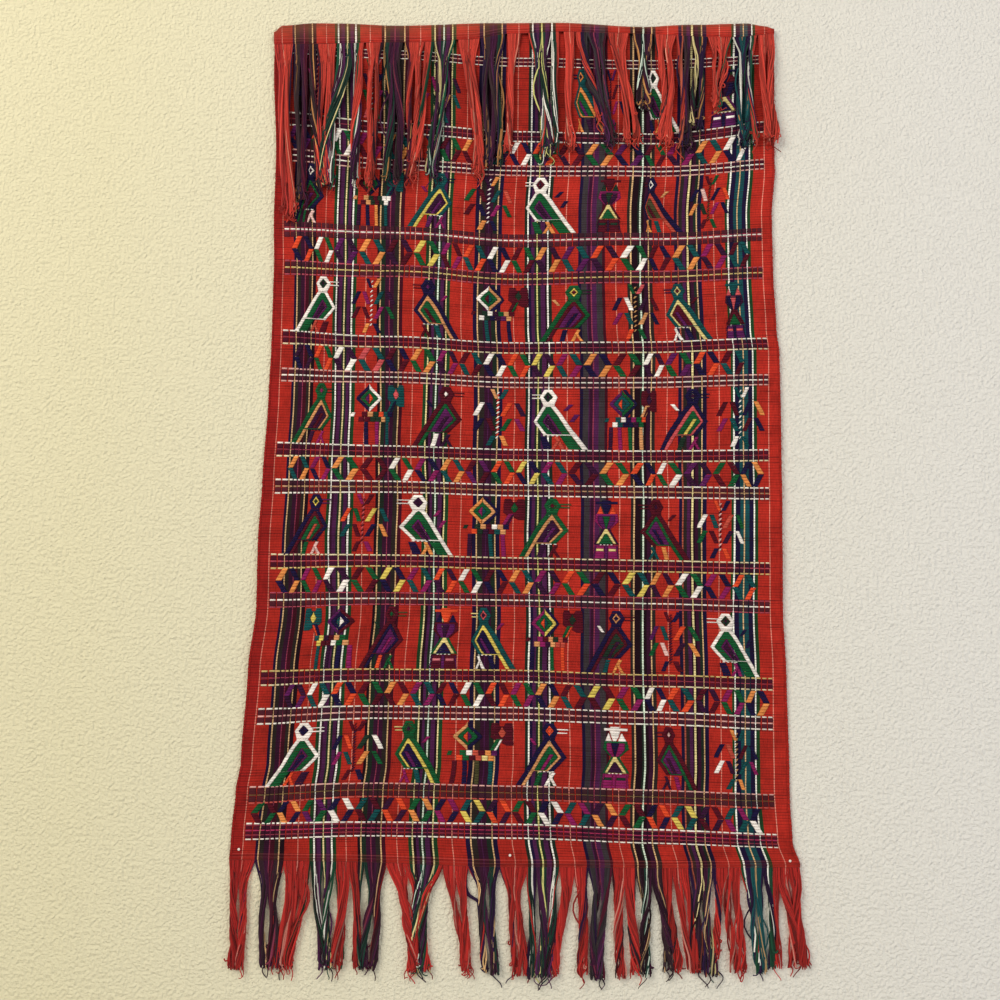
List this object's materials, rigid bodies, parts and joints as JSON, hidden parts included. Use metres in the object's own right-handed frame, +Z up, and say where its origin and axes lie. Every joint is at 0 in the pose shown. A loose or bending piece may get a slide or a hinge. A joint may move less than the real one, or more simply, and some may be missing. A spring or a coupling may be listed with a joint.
{
  "type": "brocaded wall hanging with fringed ends",
  "caption": "Flat hand-loomed cotton wall hanging, its top end folded forward, with a loose warp fringe at both ends and small pins through the hem.",
  "frame": {"origin": "the crest of the top fold, at the middle of the cloth's width", "axes": "+Z up along the cloth's length, +X across its width to the viewer's right, -Y towards the viewer, +Y towards the wall"},
  "size_m": [0.5722, 0.0187, 0.9883],
  "materials": {
    "brocaded_cloth": "matte warp-faced cotton, red with narrow dark stripes and brocade in many colours",
    "fringe_yarn": "loose matte cotton yarn in the colours of the warp stripes",
    "pin_head": "smooth off-white enamel"
  },
  "bodies": {
    "root": {"cloth": "brocaded_cloth", "fringe_top": "fringe_yarn", "fringe_bottom": "fringe_yarn", "pin_left": "pin_head", "pin_middle": "pin_head", "pin_right": "pin_head"}
  },
  "joints": []
}
